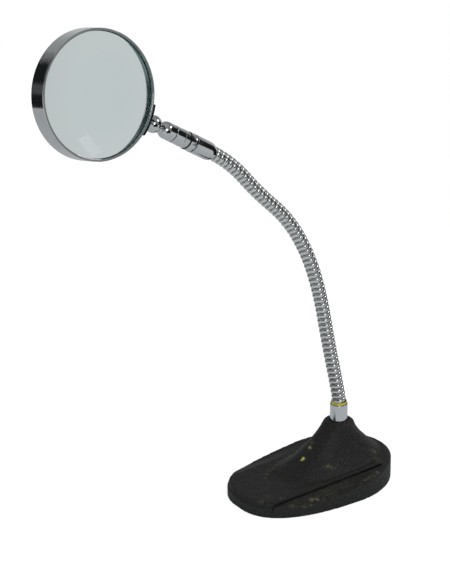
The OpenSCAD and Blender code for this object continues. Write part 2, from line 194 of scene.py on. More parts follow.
# %% What each ray sees
glass_grey = (0.587, 0.60, 0.60, 1)
shown = blend_colours(sky, darkness, ceiling.outputs[0], (0.012, 0.014, 0.015, 1))
path = add(sky, "ShaderNodeLightPath").outputs
lit = blend_colours(sky, path["Is Glossy Ray"], (0.60, 0.61, 0.62, 1), shown)
behind_glass = blend_colours(sky, path["Is Transmission Ray"], lit, glass_grey)
seen = blend_colours(sky, path["Is Camera Ray"], behind_glass, (1, 1, 1, 1))
background = add(sky, "ShaderNodeBackground", {"Color": seen, "Strength": 1.0})
add(sky, "ShaderNodeOutputWorld", {0: background.outputs[0]})
print("nodes in the room:", len(sky.nodes))


# %% [markdown]
# Two square lamps stand at the front and at the right. Each is given by the brightness of its face,
# because that is what polished metal shows.

# %% Soft lamps
lamp_aim = Vector((-0.13, 0, 0.33))


def soft_lamp(name, toward, distance, size, radiance):
    """A square lamp that faces the swivel. Its power follows from the brightness of its face."""
    lamp = bpy.data.lights.new(name, "AREA")
    lamp.size = size
    lamp.energy = radiance * pi * size * size
    holder = bpy.data.objects.new(name, lamp)
    toward = Vector(toward).normalized()
    facing = toward.to_track_quat("Z", "Y").to_matrix().to_4x4()
    holder.matrix_world = Matrix.Translation(lamp_aim + toward * distance) @ facing
    bpy.context.scene.collection.objects.link(holder)
    print(name, "power in watts:", round(lamp.energy, 1))


soft_lamp("front_lamp", (-0.27, -0.86, 0.44), 2.3, 0.9, 3.4)
soft_lamp("right_lamp", (0.80, -0.40, 0.58), 2.0, 0.6, 5.0)

# %% [markdown]
# The table is one large pale sheet. On the right its edge is near, and the chrome sees the dark floor
# past it. The camera sees the sheet as plain white paper with the object's own faint shadow on it. Metal
# and glass see the sheet as it is, a pale grey.

# %% The pale table
table_r, table_edge = 1.05, (0.27, -0.08, 0)
sheet_mesh = bmesh.new()
bmesh.ops.create_circle(sheet_mesh, cap_ends=True, segments=96, radius=table_r)
bmesh.ops.bisect_plane(sheet_mesh, geom=sheet_mesh.verts[:] + sheet_mesh.edges[:] + sheet_mesh.faces[:],
                       dist=1e-5, plane_co=table_edge, plane_no=(*past_table, 0), clear_outer=True)
sheet_data = bpy.data.meshes.new("table_sheet")
sheet_mesh.to_mesh(sheet_data)
sheet_mesh.free()
table = bpy.data.objects.new("table_sheet", sheet_data)
bpy.context.scene.collection.objects.link(table)
paper, tree, shader = new_finish("table_paper")
tree.nodes.remove(shader)
plain = add(tree, "ShaderNodeBsdfDiffuse", {"Color": (0.68, 0.70, 0.705, 1)})
faint = add(tree, "ShaderNodeBsdfDiffuse", {"Color": (0.30, 0.30, 0.30, 1)})
white = add(tree, "ShaderNodeEmission", {"Color": (1, 1, 1, 1), "Strength": 0.84})
to_camera = add(tree, "ShaderNodeAddShader", {0: faint.outputs[0], 1: white.outputs[0]})
paper_path = add(tree, "ShaderNodeLightPath").outputs
grey = add(tree, "ShaderNodeEmission", {"Color": glass_grey, "Strength": 1.0})
other = add(tree, "ShaderNodeMixShader",
            {0: paper_path["Is Transmission Ray"], 1: plain.outputs[0], 2: grey.outputs[0]})
sheet_shader = add(tree, "ShaderNodeMixShader",
                   {0: paper_path["Is Camera Ray"], 1: other.outputs[0], 2: to_camera.outputs[0]})
tree.links.new(sheet_shader.outputs[0], tree.nodes["Material Output"].inputs[0])
table.data.materials.append(paper)
print("table radius in mm:", round(table_r / MM))

# %% [markdown]
# ## Route of the arm
# The arm is set in a row of arcs, each a length and the angle that it turns forward along it. The same
# list shapes the solids, so the dressed wires follow them exactly. Any point beside the arm is then given
# by its distance along it, its radius and its azimuth.

# %% Where the arm runs
arm_x, mouth_z, first_lean, stretch = 26.9, 62.7, 2.1, 38.5
arcs = ((9, 9.7), (29.5, 1), (38.5, -2), (38.5, 6.7), (38.5, 11.7), (38.5, 16.5), (38.5, -6.5), (38.5, 17.4))
arm_len = 7 * stretch


def arm_at(s):
    """Middle of the arm and its lean, in degrees, at s from the lower ferrule's mouth."""
    x, z, lean = arm_x, mouth_z, first_lean
    left = min(max(s, 0), arm_len)
    for length, bend in arcs:
        part = min(left, length)
        turned = radians(bend * part / length)
        a = radians(lean)
        if abs(turned) < 1e-5:
            x, z = x - part * sin(a), z + part * cos(a)
        else:
            x += part / turned * (cos(a + turned) - cos(a))
            z += part / turned * (sin(a + turned) - sin(a))
        lean += degrees(turned)
        left -= part
        if left <= 0:
            break
    past = min(s, 0) + max(s - arm_len, 0)
    return x - past * sin(radians(lean)), z + past * cos(radians(lean)), lean


def beside_arm(s, r, a):
    x, z, lean = arm_at(s)
    return Vector((x + r * cos(a) * cos(radians(lean)), r * sin(a), z + r * cos(a) * sin(radians(lean))))


# %% [markdown]
# At the end of the arm the swivel goes straight on to the ball joint. The ball's stem leans aside and is
# turned from there, and the middle of the lens lies across the stem's end. Each of these parts is drawn
# round an upright axis, and one matrix puts it in its place.

# %% Where the turned parts sit
end_to_ball, stem_aside, stem_turn, ball_to_lens = 46.0, -5.9, 13.9, 66.4
end_x, end_z, end_lean = arm_at(arm_len)
lean = radians(end_lean)
pivot = Vector((end_x - end_to_ball * sin(lean), 0, end_z + end_to_ball * cos(lean)))
on_foot = Matrix.Translation((arm_x, 0, 0))
on_barrel = Matrix.Translation(pivot) @ Matrix.Rotation(-lean, 4, "Y")
on_stem = (on_barrel @ Matrix.Rotation(radians(stem_aside), 4, "X")
           @ Matrix.Rotation(radians(stem_turn), 4, "Z"))
on_lens = on_stem @ Matrix.Translation((0, 0, ball_to_lens)) @ Matrix.Rotation(radians(90), 4, "X")
upright = Vector((0, 0, 1))
barrel_axis, stem_axis, lens_axis = [(matrix.to_3x3() @ upright).normalized()
                                     for matrix in (on_barrel, on_stem, on_lens)]
print("ball joint at", [round(c, 2) for c in pivot], " lean of the barrel:", round(end_lean, 2))

# %% [markdown]
# ## Finishes
# The plating is chromium over nickel. It mirrors the room, but fifty years of hands have left fine
# scratches and a thin uneven haze, so its roughness is a noise and not one number. Parts turned on a
# lathe also keep very fine rings round their axis. Those are a noise that reads only the distance along
# that axis.

# %% Plated and bare metals
def plated_metal(name, colour, haze, stain, axis=None, ring_depth=0.12):
    """A polished plating: haze is the least roughness, and stain the colour where it has dulled."""
    finish, tree, shader = new_finish(name)
    place = add(tree, "ShaderNodeTexCoord").outputs["Object"]
    scratch = speckle(tree, place, 900.0, 3.0)
    dull = step_between(tree, speckle(tree, place, 95.0, 5.0, 0.62), 0.50, 0.74)
    surface = blend_colours(tree, calc(tree, "MULTIPLY", dull, 0.55), (*colour, 1), (*stain, 1))
    tree.links.new(surface, shader.inputs["Base Color"])
    rough = calc(tree, "MULTIPLY_ADD", dull, 0.14, haze)
    tree.links.new(calc(tree, "MULTIPLY_ADD", scratch, 0.05, rough), shader.inputs["Roughness"])
    shader.inputs["Metallic"].default_value = 1.0
    relief = scratch
    if axis is not None:
        inputs = {"W": along(tree, place, axis), "Scale": 2600.0, "Detail": 2.0}
        rings = add(tree, "ShaderNodeTexNoise", inputs, noise_dimensions="1D").outputs[0]
        relief = calc(tree, "MULTIPLY_ADD", rings, 2.0, calc(tree, "MULTIPLY", scratch, 0.4))
    emboss(tree, shader, relief, ring_depth, 0.04 * MM)
    print("finish", name, "least roughness", haze)
    return finish


swivel_chrome = plated_metal("turned_chrome", (0.64, 0.655, 0.66), 0.05, (0.46, 0.47, 0.465), barrel_axis)
knob_chrome = plated_metal("knob_chrome", (0.64, 0.655, 0.66), 0.04, (0.46, 0.46, 0.44), stem_axis, 0.06)
ferrule_chrome = plated_metal("ferrule_chrome", (0.68, 0.71, 0.73), 0.02, (0.48, 0.49, 0.50), upright)
band_chrome = plated_metal("band_chrome", (0.60, 0.615, 0.62), 0.05, (0.42, 0.42, 0.41), lens_axis, 0.16)
inner_wall = plated_metal("band_inner_wall", (0.30, 0.39, 0.385), 0.30, (0.18, 0.25, 0.245), lens_axis, 0.2)
dark_ring = plated_metal("dark_spring_ring", (0.05, 0.085, 0.082), 0.25, (0.03, 0.045, 0.045), lens_axis, 0.2)
# near black: old oil in the swivel's joints, and a painted dark reflection inside the band
oil_and_painted_reflection = plated_metal("joint_oil_and_painted_reflection", (0.022, 0.022, 0.020), 0.35, (0.012, 0.012, 0.010))
black_steel = plated_metal("blackened_strip", (0.045, 0.041, 0.042), 0.24, (0.02, 0.019, 0.019), lens_axis,
                           0.2)
brass = plated_metal("worn_brass", (0.80, 0.68, 0.12), 0.24, (0.36, 0.27, 0.05), upright, 0.3)
steel = plated_metal("plain_steel", (0.42, 0.42, 0.41), 0.26, (0.20, 0.16, 0.12), upright, 0.3)


# %% [markdown]
# The arm's wires are plated too. Each wire's mesh carries a number, groove, that is 0 at the outside of
# the arm and 1 deep between the turns. With a slow noise of grime, it makes the finish dark and dull: the
# dark between the turns is painted shade.

# %% Wire steels
def wire_metal(name, colour, haze):
    finish, tree, shader = new_finish(name)
    place = add(tree, "ShaderNodeTexCoord").outputs["Object"]
    groove = add(tree, "ShaderNodeAttribute", attribute_name="groove").outputs["Fac"]
    cloud = speckle(tree, place, 120.0, 4.0, 0.6)
    groove_shade_and_grime = calc(tree, "MULTIPLY_ADD", cloud, 0.5, calc(tree, "ADD", groove, -0.25), clamp=True)
    groove_shade_and_grime = step_between(tree, groove_shade_and_grime, 0.22, 0.62)
    # painted shade between the turns, mixed with a slow noise of grime, darkens the wire
    surface = blend_colours(tree, groove_shade_and_grime, (*colour, 1), (0.035, 0.033, 0.030, 1))
    tree.links.new(surface, shader.inputs["Base Color"])
    tree.links.new(calc(tree, "MULTIPLY_ADD", groove_shade_and_grime, 0.45, haze), shader.inputs["Roughness"])
    shader.inputs["Metallic"].default_value = 1.0
    emboss(tree, shader, speckle(tree, place, 1100.0, 3.0), 0.15, 0.04 * MM)
    print("finish", name, "least roughness", haze)
    return finish


round_steel = wire_metal("round_wire_steel", (0.75, 0.76, 0.76), 0.16)
wedge_steel = wire_metal("wedge_wire_steel", (0.50, 0.50, 0.495), 0.22)


# %% [markdown]
# The foot is cast iron under a thick black paint. Sand casting leaves a fine pebbled skin. Faces that
# point up are painted a little lighter and browner than the sides, a painted light from above. Grey
# dust lies over it in a fine mottle. Where a hand takes hold, the paint has worn through to an ochre
# undercoat. The mesh carries that wear as a number, and the finish breaks its edge into flecks with a
# fine noise, as real chips are. A second number darkens the narrow creases with painted shade.

# %% Worn black paint
shaded_side_dark, shaded_side_light = (0.0068, 0.0076, 0.0074, 1), (0.0130, 0.0137, 0.0133, 1)
lit_top_dark, lit_top_light = (0.0066, 0.0064, 0.0056, 1), (0.0140, 0.0136, 0.0117, 1)
old_ochre, bright_ochre = (0.125, 0.121, 0.068, 1), (0.48, 0.45, 0.10, 1)
thin_paint, dust_grey = (0.066, 0.063, 0.036, 1), (0.033, 0.033, 0.029, 1)
crease_painted_shade = (0.002, 0.002, 0.002, 1)


def worn_paint():
    finish, tree, shader = new_finish("worn_black_paint")
    source = add(tree, "ShaderNodeTexCoord").outputs
    place = source["Object"]
    upward = add(tree, "ShaderNodeSeparateXYZ", {0: source["Normal"]}).outputs[2]
    wear = add(tree, "ShaderNodeAttribute", attribute_name="wear").outputs["Fac"]
    deep = add(tree, "ShaderNodeAttribute", attribute_name="crease").outputs["Fac"]
    cloud = speckle(tree, place, 60.0, 6.0, 0.6)
    fleck = speckle(tree, place, 820.0, 4.0, 0.75)
    pebble = speckle(tree, place, 380.0, 3.0, 0.55)
    mottle = speckle(tree, place, 520.0, 3.0, 0.7)
    # painted light: faces that point up get the lighter, browner top colours, and faces that point aside get
    # the cooler side colours
    side = blend_colours(tree, cloud, shaded_side_dark, shaded_side_light)
    top = blend_colours(tree, cloud, lit_top_dark, lit_top_light)
    paint = blend_colours(tree, step_between(tree, upward, -0.1, 1.1), side, top)
    dust = calc(tree, "MULTIPLY", step_between(tree, mottle, 0.46, 0.72), 0.75)
    paint = blend_colours(tree, dust, paint, dust_grey)
    rubbed = calc(tree, "MULTIPLY_ADD", wear, 0.58, calc(tree, "MULTIPLY_ADD", fleck, 1.4, -0.5))
    chipped = step_between(tree, rubbed, 0.50, 0.66)
    thin = step_between(tree, rubbed, 0.36, 0.60)
    paint = blend_colours(tree, calc(tree, "MULTIPLY", thin, 0.5), paint, thin_paint)
    bare = blend_colours(tree, step_between(tree, wear, 0.6, 0.95), old_ochre, bright_ochre)
    paint = blend_colours(tree, chipped, paint, bare)
    # painted shade: the crease number darkens the narrow creases nearly to black
    paint = blend_colours(tree, deep, paint, crease_painted_shade)
    tree.links.new(paint, shader.inputs["Base Color"])
    rough = calc(tree, "MULTIPLY_ADD", cloud, 0.22, 0.47)
    tree.links.new(calc(tree, "MULTIPLY_ADD", chipped, 0.15, rough), shader.inputs["Roughness"])
    tree.links.new(calc(tree, "MULTIPLY_ADD", deep, -0.34, 0.35), shader.inputs["Specular IOR Level"])
    emboss(tree, shader, calc(tree, "MULTIPLY_ADD", chipped, -0.5, pebble), 0.55, 0.5 * MM)
    print("finish", finish.name, "nodes:", len(tree.nodes))
    return finish


black_paint = worn_paint()


# %% [markdown]
# The lens is crown glass with a faint green in its depth. The green belongs to the inside of the glass,
# so it is an absorption and grows with the length of the ray. Its rim is ground, not polished, and looks
# like pale frosted glass. A thin coat against glare keeps the lamps from showing on its faces.

# %% Glass
def clear_glass():
    finish, tree, shader = new_finish("polished_glass")
    glare = 0.10
    shader.inputs["Base Color"].default_value = (0.918, 0.954, 0.963, 1)
    shader.inputs["Transmission Weight"].default_value = 1.0
    shader.inputs["IOR"].default_value = 1.52
    shader.inputs["Specular Tint"].default_value = (glare, glare, glare, 1)
    place = add(tree, "ShaderNodeTexCoord").outputs["Object"]
    hazy = step_between(tree, speckle(tree, place, 28.0, 3.0), 0.45, 0.75)
    tree.links.new(calc(tree, "MULTIPLY", hazy, 0.012), shader.inputs["Roughness"])
    green = add(tree, "ShaderNodeVolumeAbsorption", {"Color": (0.30, 0.84, 0.76, 1), "Density": 7.0})
    tree.links.new(green.outputs[0], tree.nodes["Material Output"].inputs["Volume"])
    return finish


def frosted_rim():
    finish, tree, shader = new_finish("ground_glass")
    place = add(tree, "ShaderNodeTexCoord").outputs["Object"]
    grain = speckle(tree, place, 700.0, 3.0)
    surface = blend_colours(tree, grain, (0.36, 0.50, 0.49, 1), (0.52, 0.66, 0.65, 1))
    tree.links.new(surface, shader.inputs["Base Color"])
    shader.inputs["Roughness"].default_value = 0.6
    return finish


polished_glass = clear_glass()
ground_glass = frosted_rim()
print("finishes:", len(bpy.data.materials))


# %% [markdown]
# ## Shapes on a lathe
# Most metal parts were turned, so they are made here as they were: a line of points is the tool's path,
# and a full spin makes the part. The sharp rings then get a small bevel, because every real edge catches
# a thread of light.

# %% Lathe
def to_piece(bm, name, finish, place=Matrix.Identity(4), sharp=18):
    """Puts a mesh that was drawn in millimetres into the scene, in metres, with its faces outward."""
    bmesh.ops.remove_doubles(bm, verts=bm.verts, dist=1e-4)
    bmesh.ops.recalc_face_normals(bm, faces=bm.faces)
    bmesh.ops.transform(bm, matrix=Matrix.Scale(MM, 4) @ place, verts=bm.verts)
    for face in bm.faces:
        face.smooth = True
    mesh = bpy.data.meshes.new(name)
    bm.to_mesh(mesh)
    bm.free()
    mesh.set_sharp_from_angle(angle=radians(sharp))
    mesh.materials.append(finish)
    piece = bpy.data.objects.new(name, mesh)
    bpy.context.scene.collection.objects.link(piece)
    return piece


def lathe(name, path, place, finish, closed=True, steps=128, edge=0.12, sharp_angle=10):
    bm = bmesh.new()
    points = [bm.verts.new((r, 0, z)) for r, z in path]
    lines = [bm.edges.new(pair) for pair in zip(points, points[1:])]
    if closed:
        lines.append(bm.edges.new((points[-1], points[0])))
    bmesh.ops.spin(bm, geom=points + lines, cent=(0, 0, 0), axis=(0, 0, 1), angle=2 * pi,
                   steps=steps, use_merge=True)
    bmesh.ops.remove_doubles(bm, verts=bm.verts, dist=1e-4)
    bmesh.ops.recalc_face_normals(bm, faces=bm.faces)
    sharp = [e for e in bm.edges if len(e.link_faces) == 2 and e.calc_face_angle() > radians(38)]
    if edge and sharp:
        bmesh.ops.bevel(bm, geom=sharp, offset=edge, segments=2, profile=0.5, affect="EDGES",
                        material=-1, clamp_overlap=True)
    piece = to_piece(bm, name, finish, place, sharp_angle)
    print(name, "faces:", len(piece.data.polygons))
    return piece


def arc(centre, radius, start, end, count):
    """Points on a round of the tool's path. Angles are in degrees from the face of the lathe."""
    return [(radius * cos(radians(a)), centre + radius * sin(radians(a)))
            for a in (start + (end - start) * i / count for i in range(count + 1))]


def dress(piece, body, stands_for):
    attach(piece, body)
    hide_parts(stands_for)


# %% [markdown]
# ## Foot
# The foot was cast in a sand mould, so it has no sharp corner anywhere: walls, steps and boss run into
# each other. The solid has the right shape with crisp edges. A voxel remesh turns a copy of it into an
# even skin of small squares, and smoothing that skin rounds every edge by about a millimetre. Two
# noises, one slow and one fine, then move the skin in by about a tenth of a millimetre, more here and
# less there. They leave the flat underside alone.

# %% Cast the foot
def even_skin(source, voxel):
    """A merged copy of a solid, remeshed into even squares."""
    bm = bmesh.new()
    bm.from_mesh(source.data)
    bmesh.ops.remove_doubles(bm, verts=bm.verts, dist=1e-6)
    rough_mesh = bpy.data.meshes.new("rough_copy")
    bm.to_mesh(rough_mesh)
    bm.free()
    holder = bpy.data.objects.new("rough_copy", rough_mesh)
    bpy.context.scene.collection.objects.link(holder)
    remesh = holder.modifiers.new("even", "REMESH")
    remesh.mode = "VOXEL"
    remesh.voxel_size = voxel
    fine = bpy.data.meshes.new_from_object(holder.evaluated_get(bpy.context.evaluated_depsgraph_get()))
    bpy.data.objects.remove(holder)
    bm = bmesh.new()
    bm.from_mesh(fine)
    bpy.data.meshes.remove(fine)
    return bm


square, smooth_rounds, underside = 0.68, 4, 0.6
slow_waves, fine_waves = 210.0, 620.0
casting = even_skin(nodes["foot_casting"], square * MM)
for _ in range(smooth_rounds):
    bmesh.ops.smooth_vert(casting, verts=casting.verts, factor=0.5,
                          use_axis_x=True, use_axis_y=True, use_axis_z=True)
for vert in casting.verts:
    if vert.co.z > underside * MM:
        swell = noise.noise(vert.co * slow_waves) * 0.10 + noise.noise(vert.co * fine_waves) * 0.05
        vert.co += vert.normal * (swell - 0.10) * MM
print("foot casting, faces:", len(casting.faces))

# %% [markdown]
# The low rim slopes up to the raised middle, which itself rises gently toward the back. Where they meet,
# a narrow crease is left on each side. It is pressed into the skin here, because the smoothing would
# have filled a gap so narrow. It fades out toward both ends.

# %% Cut the narrow creases beside the raised middle
deck_half, deck_z, deck_rise = 28.3, 14.9, 0.0524
front_end, rear_end, front_fade, rear_fade = -60, 52, 14, 8
slope_w, slope_drop = 11, 1.5
crease_depth, crease_y, crease_half = 1.1, 0.75, 0.95
wall_z, level_enough, below_deck = 5, 0.6, 0.3
crease = casting.verts.layers.float.new("crease")
for vert in casting.verts:
    x, y, z = vert.co / MM
    beyond = abs(y) - deck_half
    if z < wall_z or not front_end < x < rear_end:
        continue
    middle_top = deck_z + deck_rise * x
    fade = min(max((x - front_end) / front_fade, 0), 1) * min(max((rear_end - x) / rear_fade, 0), 1)
    room = middle_top - slope_drop - z
    if beyond > 0.5 and vert.normal.z > level_enough and room > 0:
        vert.co.z += room * max(1 - beyond / slope_w, 0) * fade * MM
    near_line = max(1 - abs(beyond - crease_y) / crease_half, 0) * fade
    if vert.co.z / MM < middle_top - below_deck:
        vert.co.z -= crease_depth * near_line * MM
        # this number paints shade into the crease, in the finish of the foot
        vert[crease] = min(1.6 * near_line, 1)

# %% [markdown]
# The worn places are where the photograph shows them: beside the tray, along the near edge of the wall
# and at the rear right. Each is a spot, given by x, y and z, a radius in millimetres and a strength. It
# has a full core and fades out past its radius. The far edge of the tray is a row of small spots that
# share one radius and strength.

# %% Where the paint is worn
worn_spots = (
    (-7.1, -1, 24.7, 2.2, 1.0), (-8.4, -0.4, 23.9, 1.6, 0.9), (1, 1, 30.8, 2.6, 0.78),
    (4, 2.5, 33, 2.4, 0.70), (18.7, 32.2, 15.2, 5.0, 0.55), (23, 33, 15.6, 4.0, 0.5),
    (-3, 12, 22, 5.0, 0.42), (-1.6, 25, 14.8, 3.4, 0.45), (4, -17, 21.4, 3.0, 0.60),
    (7, -19.2, 19.7, 2.6, 0.62), (-7.5, -18.8, 15.3, 1.8, 0.5), (16, -22, 17.6, 1.6, 0.4),
    (24, -39.2, 15.8, 2.8, 0.88), (28, -38.9, 16.1, 3.0, 0.74), (32, -38.6, 16.5, 3.2, 0.72),
    (37, -36.8, 16.8, 3.0, 0.68), (18, -41, 15.1, 2.6, 0.60), (12, -40, 14.4, 2.4, 0.62),
    (9, -39, 14, 2.2, 0.58), (1, -42.4, 12.9, 2.6, 0.50), (-5.5, -42, 12, 2.6, 0.50),
    (-11, -40.5, 11.3, 2.6, 0.52), (-20, -37.7, 10.2, 3.0, 0.68), (-24, -36, 9.8, 3.0, 0.70),
    (-16, -40, 10.8, 3.0, 0.50), (-28, -40, 9.2, 2.6, 0.55), (-33, -40, 8.3, 2.4, 0.60),
    (-41, -35.2, 8.5, 2.2, 0.60), (-43, -34, 8.4, 2.0, 0.58), (50, -16, 20.8, 3.6, 0.52),
    (48, -25, 17.6, 4.0, 0.50), (49, -21, 17.8, 3.0, 0.48), (49, -30, 17.3, 3.0, 0.52),
    (-51.6, -16.7, 12.2, 3.0, 0.42), (-59.5, -20, 11.8, 3.0, 0.46), (-44, -25, 12.6, 2.6, 0.5),
    (-22.5, 17, 13.7, 4.0, 0.34), (-10, -26.5, 14.4, 3.0, 0.40), (8, -36, 14, 8.0, 0.36),
    (-8, -36, 11.6, 9.0, 0.36),
)
tray_edge = ((-1.3, 25.2, 14.8), (-5.6, 23.5, 14.6), (-10, 22, 14.4), (-13.3, 21.6, 14.2),
             (-18, 19.3, 14), (-22.8, 17.2, 13.7), (-27.4, 14.9, 13.4), (-32.7, 11.1, 13.2),
             (-36.4, 7.1, 13), (-37.5, 2.2, 12.9), (-32.6, -1.5, 13))
edge_radius, edge_strength = 1.7, 0.58
spot_core, spot_reach, worn_from = 0.35, 1.6, 0.3
worn_spots += tuple((*place, edge_radius, edge_strength) for place in tray_edge)
wear = casting.verts.layers.float.new("wear")
worn_share = 0
for vert in casting.verts:
    most = 0.0
    for x, y, z, radius, strength in worn_spots:
        far = (vert.co / MM - Vector((x, y, z))).length / radius
        if far < spot_reach:
            most = max(most, strength * (1 - max(far - spot_core, 0) / (spot_reach - spot_core)))
    vert[wear] = most
    worn_share += vert[wear] > worn_from
print("worn share of the foot:", round(worn_share / len(casting.verts), 3))
bmesh.ops.transform(casting, matrix=Matrix.Scale(1 / MM, 4), verts=casting.verts)
foot = to_piece(casting, "cast_foot", black_paint, sharp=180)
dress(foot, "foot", "foot_casting")

# %% [markdown]
# ## Lower ferrule and its ring
# A plain plated tube stands in the boss. A brass ring shows at its mouth, where the arm comes out.

# %% Turn the lower ferrule
ferrule = lathe("lower_ferrule_tube", ((6.2, 38), (6.78, 38), (6.78, 62.45), (6.58, 62.7), (6.2, 62.7)),
                on_foot, ferrule_chrome, edge=0.06)
dress(ferrule, "foot", "lower_ferrule")
ring = lathe("brass_mouth_ring", (
    (5.7, 60), (6.18, 60), (6.18, 62.1), (6.05, 62.2), (6.05, 64.7), (5.9, 64.9), (5.7, 64.9)),
    on_foot, brass, edge=0.06)
dress(ring, "foot", "arm_end_ring")

# %% [markdown]
# ## Wires of the arm
# The arm is two wires wound together: a round one in an open coil, and a wedge-shaped one pressed into
# the space between its turns. Friction between them holds any bend. Each wire is spun as a straight coil,
# by a turn and a small step along the axis, and then laid on the arm's route. Its ends reach into both
# ferrules. It comes in eight pieces, cut halfway between the joints. The first goes with the foot and the
# last with the swivel; the others are fixed where they are laid.

# %% Wind a wire
wire_pitch, arm_r, wire_r = 4.6, 5.5, 1.4
coil_r = arm_r - wire_r
clean_depth, groove_depth = 0.45, 1.1


def coil(section, turns, rise, steps, start=0):
    """A straight coil. Its section is a ring of (outward, along) points, and start an angle in radians."""
    bm = bmesh.new()
    loop = [bm.verts.new((r * cos(start), r * sin(start), z)) for r, z in section]
    lines = [bm.edges.new((loop[i], loop[(i + 1) % len(loop)])) for i in range(len(loop))]
    bmesh.ops.spin(bm, geom=loop + lines, cent=(0, 0, 0), axis=(0, 0, 1), dvec=(0, 0, rise / steps),
                   angle=2 * pi * turns, steps=steps, use_merge=False)
    bmesh.ops.holes_fill(bm, edges=[e for e in bm.edges if e.is_boundary], sides=0)
    return bm


def round_section(middle_r, middle_z, radius, sides, stretched=1):
    """The section of a round wire, stretched along the coil's axis where the wire was flattened."""
    angles = [2 * pi * i / sides for i in range(sides)]
    return [(middle_r + radius * cos(a), middle_z + stretched * radius * sin(a)) for a in angles]


def wind(name, section, s0, s1, lead, finish, steps_per_turn=30):
    """A wire of the given section, wound from s0 to s1 along the arm and shifted along it by lead."""
    turns = (s1 - s0) / wire_pitch
    placed = [(r, s0 + z) for r, z in section]
    bm = coil(placed, turns, s1 - s0, ceil(turns * steps_per_turn), 2 * pi * (s0 - lead) / wire_pitch)
    groove = bm.verts.layers.float.new("groove")
    for vert in bm.verts:
        r = hypot(vert.co.x, vert.co.y)
        vert[groove] = min(max((arm_r - clean_depth - r) / groove_depth, 0), 1)
        vert.co = beside_arm(vert.co.z, r, atan2(vert.co.y, vert.co.x))
    return to_piece(bm, name, finish, sharp=50)


# %% Wind both wires along the arm
out_r, in_r = arm_r - 0.55, arm_r - 1.6
wire_section = round_section(coil_r, 0, wire_r, 14, 1.34)
wedge_section = [(out_r - 0.10, -0.42), (in_r, -0.14), (in_r, 0.14), (out_r - 0.10, 0.42), (out_r, 0.28),
                 (out_r + 0.04, 0), (out_r, -0.28)]
in_lower, in_upper, bend_reach = 7, 11.5, 14
cuts = [wire_r - in_lower] + [stretch * (k + 0.5) for k in range(7)] + [arm_len + in_upper - wire_r]
wound = 0
for k in range(8):
    for kind, section, lead, finish, slot, node in (
            ("round", wire_section, 0, round_steel, "arm_steel", "arm_wire"),
            ("wedge", wedge_section, wire_pitch / 2, wedge_steel, "wedge_steel", "wedge_wire")):
        wire = wind(f"{kind}_wire_part_{k + 1}", section, cuts[k], cuts[k + 1], lead, finish)
        wound += len(wire.data.polygons)
        if k < 7:
            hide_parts(f"{node}_{k + 1}")
        if k == 0:
            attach(wire, "foot")
        elif k == 7:
            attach(wire, "swivel")
        else:
            start, end = (arm_at(stretch * k + side) for side in (-bend_reach, bend_reach))
            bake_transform(wire)
print("wires, faces:", wound)

# %% [markdown]
# ## Swivel
# Four turned parts screw together behind the ball: the ferrule over the arm's end, a collar, a barrel
# with a low raised ring, and a domed cap that holds the ball. They share one axis, so each is a path on
# the same lathe, measured from the middle of the ball. Oil has gathered in the joints between them.

# %% Turn the swivel
def darken_joint(piece, span, radius):
    """Old oil on the faces of a swivel part that lie within a span of its axis and inside a radius."""
    if oil_and_painted_reflection.name not in piece.data.materials:
        piece.data.materials.append(oil_and_painted_reflection)
    for face in piece.data.polygons:
        from_ball = face.center / MM - pivot
        distance = from_ball.dot(barrel_axis)
        if span[0] < distance < span[1] and (from_ball - barrel_axis * distance).length < radius:
            face.material_index = 1


upper = lathe("upper_ferrule_sleeve", (
    (4.02, -32), (4.02, -26.02), (6.55, -26.02), (6.85, -26.4), (6.85, -41), (6.73, -42.5), (6.45, -44),
    (6.05, -45.2), (5.75, -46), (5.65, -46), (5.65, -32)), on_barrel, swivel_chrome)
darken_joint(upper, span=(-26.5, -26.0), radius=6.8)
dress(upper, "swivel", "upper_ferrule")
collar = lathe("swivel_collar_ring", (
    (4.02, -19.32), (4.02, -26), (6.35, -26), (6.85, -25.5), (6.95, -24.8), (6.8, -24), (6.75, -20.3),
    (6.45, -19.32)), on_barrel, swivel_chrome)
darken_joint(collar, span=(-26.05, -25.6), radius=6.75)
darken_joint(collar, span=(-20.0, -19.3), radius=6.7)
dress(collar, "swivel", "swivel_collar")
barrel = lathe("swivel_barrel_tube", (
    (0, -31), (4, -31), (4, -19.3), (6.3, -19.3), (6.25, -17.5), (6.4, -17.1), (6.4, -15.5), (6.52, -15.2),
    (6.52, -14.4), (6.4, -14.1), (6.4, -6.2), (6.2, -6), (5.42, -6), (5.42, -9.5), (4.5, -9.5), (4.5, -17.3),
    (0, -17.3)), on_barrel, swivel_chrome, closed=False)
dress(barrel, "swivel", "swivel_barrel")
seat_arc = arc(0, 4.5, 0, degrees(atan2(3.67, 2.61)), 8)
dome_arc = arc(0, 6.4, degrees(atan2(5.615, 3.07)), 0, 24)
cap = lathe("socket_cap_dome", seat_arc + dome_arc + [(6.4, -5.2), (5.4, -5.2), (5.4, -9.2), (4.5, -9.2)],
            on_barrel, swivel_chrome, edge=0.1)
darken_joint(cap, span=(-9.3, -5.1), radius=6.1)
dress(cap, "swivel", "socket_cap")

# %% [markdown]
# Inside the barrel a spring presses a brass pad on the ball. Nobody sees it until the cap is taken off,
# but it is what keeps the lens where it is put, so it is wound as a real spring.

# %% Wind the friction spring
spring_r, spring_wire_r, spring_z, spring_turns, spring_rise = 3.3, 0.5, -16.6, 5, 8.2
spring_section = round_section(spring_r, spring_z, spring_wire_r, 10)
spring = coil(spring_section, spring_turns, spring_rise, 28 * spring_turns)
spring_piece = to_piece(spring, "friction_spring_coil", steel, on_barrel)
dress(spring_piece, "swivel", "friction_spring")

# %% [markdown]
# ## Ball on the band
# A plated ball is riveted to the band through a saddle. Under it, a hollow clears the nose of the cap, so
# that the head can tilt.

